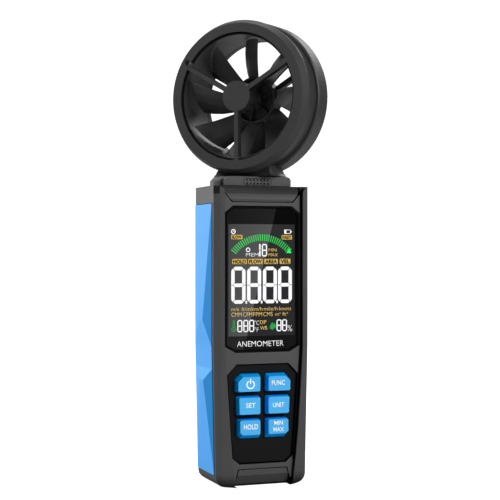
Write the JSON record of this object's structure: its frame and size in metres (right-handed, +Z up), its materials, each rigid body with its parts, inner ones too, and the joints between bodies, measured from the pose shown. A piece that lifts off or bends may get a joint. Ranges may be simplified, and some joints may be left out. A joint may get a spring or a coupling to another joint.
{
  "type": "vane anemometer",
  "caption": "Handheld vane anemometer: a swivelling ducted vane wheel on a slim keypad body with a tall display, blue side grips and a hinged battery door.",
  "frame": {"origin": "on the flat underside of the body, below the axis that the head swivels about", "axes": "+Z up along the body, -Y out of the display and keys, +X to the viewer's right when facing the display"},
  "size_m": [0.064, 0.0667, 0.2114],
  "materials": {
    "battery_cell_1": "plain sleeve",
    "battery_cell_2": "plain sleeve",
    "battery_cell_3": "plain sleeve",
    "battery_door": "fine satin grain, dark grey",
    "bearing_front": "bright",
    "bearing_rear": "bright",
    "bottom_insert": "fine satin grain, dark grey",
    "button_func": "bright blue, satin",
    "button_hold": "bright blue, satin",
    "button_min_max": "bright blue, satin",
    "button_power": "bright blue, satin",
    "button_set": "bright blue, satin",
    "button_unit": "bright blue, satin",
    "buzzer": "matt black",
    "contact_plate_bottom": "bright",
    "contact_plate_top": "bright",
    "controller_chip": "matt black",
    "display_window": "polished black window",
    "dome_sheet": "matt black",
    "friction_washer": "matt black",
    "front_guard": "satin black",
    "front_plate": "fine satin grain, dark grey",
    "head_frame": "satin black",
    "housing_screw_1": "bright",
    "housing_screw_2": "bright",
    "housing_screw_3": "bright",
    "housing_screw_4": "bright",
    "impeller": "satin black",
    "keypad_panel": "matt black",
    "lcd_module": "matt black",
    "magnet_disc": "bright",
    "main_board": "green board",
    "rear_guard": "satin black",
    "rear_housing": "fine satin grain, dark grey",
    "retaining_ring": "bright",
    "sensor_bar": "satin black",
    "sensor_board": "green board",
    "side_grip_left": "bright blue, satin",
    "side_grip_right": "bright blue, satin",
    "swivel_base": "satin, dark grey",
    "top_insert": "fine satin grain, dark grey",
    "tripod_insert": "turned",
    "vane_shaft": "bright"
  },
  "bodies": {
    "body": {"battery_cell_1": "battery_cell_1", "battery_cell_2": "battery_cell_2", "battery_cell_3": "battery_cell_3", "bottom_insert": "bottom_insert", "buzzer": "buzzer", "contact_plate_bottom": "contact_plate_bottom", "contact_plate_top": "contact_plate_top", "controller_chip": "controller_chip", "display_window": "display_window", "dome_sheet": "dome_sheet", "friction_washer": "friction_washer", "front_plate": "front_plate", "housing_screw_1": "housing_screw_1", "housing_screw_2": "housing_screw_2", "housing_screw_3": "housing_screw_3", "housing_screw_4": "housing_screw_4", "keypad_panel": "keypad_panel", "lcd_module": "lcd_module", "main_board": "main_board", "rear_housing": "rear_housing", "sensor_bar": "sensor_bar", "sensor_board": "sensor_board", "side_grip_left": "side_grip_left", "side_grip_right": "side_grip_right", "swivel_base": "swivel_base", "top_insert": "top_insert", "tripod_insert": "tripod_insert"},
    "head": {"head_frame": "head_frame", "front_guard": "front_guard", "rear_guard": "rear_guard", "bearing_front": "bearing_front", "bearing_rear": "bearing_rear", "retaining_ring": "retaining_ring"},
    "impeller": {"impeller": "impeller", "vane_shaft": "vane_shaft", "magnet_disc": "magnet_disc"},
    "battery_door": {"battery_door": "battery_door"},
    "button_func": {"button_func": "button_func"},
    "button_hold": {"button_hold": "button_hold"},
    "button_min_max": {"button_min_max": "button_min_max"},
    "button_power": {"button_power": "button_power"},
    "button_set": {"button_set": "button_set"},
    "button_unit": {"button_unit": "button_unit"}
  },
  "joints": [
    {"name": "head_swivel", "type": "hinge", "parent": "body", "child": "head", "pos_m": [0, 0, 0.14], "axis": [0, 0, 1], "range_deg": [-42, 138]},
    {"name": "impeller_spin", "type": "hinge", "parent": "head", "child": "impeller", "pos_m": [0, 0, 0.176], "axis": [0.7396, 0.673, 0], "continuous": true},
    {"name": "battery_door_hinge", "type": "hinge", "parent": "body", "child": "battery_door", "pos_m": [0, 0.01475, 0.01505], "axis": [-1, 0, 0], "range_deg": [0, 105]},
    {"name": "press_func", "type": "slide", "parent": "body", "child": "button_func", "axis": [0, 1, 0], "range_m": [0, 0.0009], "stiffness_N_per_m": 800, "springref_m": -0.0005},
    {"name": "press_hold", "type": "slide", "parent": "body", "child": "button_hold", "axis": [0, 1, 0], "range_m": [0, 0.0009], "stiffness_N_per_m": 800, "springref_m": -0.0005},
    {"name": "press_min_max", "type": "slide", "parent": "body", "child": "button_min_max", "axis": [0, 1, 0], "range_m": [0, 0.0009], "stiffness_N_per_m": 800, "springref_m": -0.0005},
    {"name": "press_power", "type": "slide", "parent": "body", "child": "button_power", "axis": [0, 1, 0], "range_m": [0, 0.0009], "stiffness_N_per_m": 800, "springref_m": -0.0005},
    {"name": "press_set", "type": "slide", "parent": "body", "child": "button_set", "axis": [0, 1, 0], "range_m": [0, 0.0009], "stiffness_N_per_m": 800, "springref_m": -0.0005},
    {"name": "press_unit", "type": "slide", "parent": "body", "child": "button_unit", "axis": [0, 1, 0], "range_m": [0, 0.0009], "stiffness_N_per_m": 800, "springref_m": -0.0005}
  ]
}
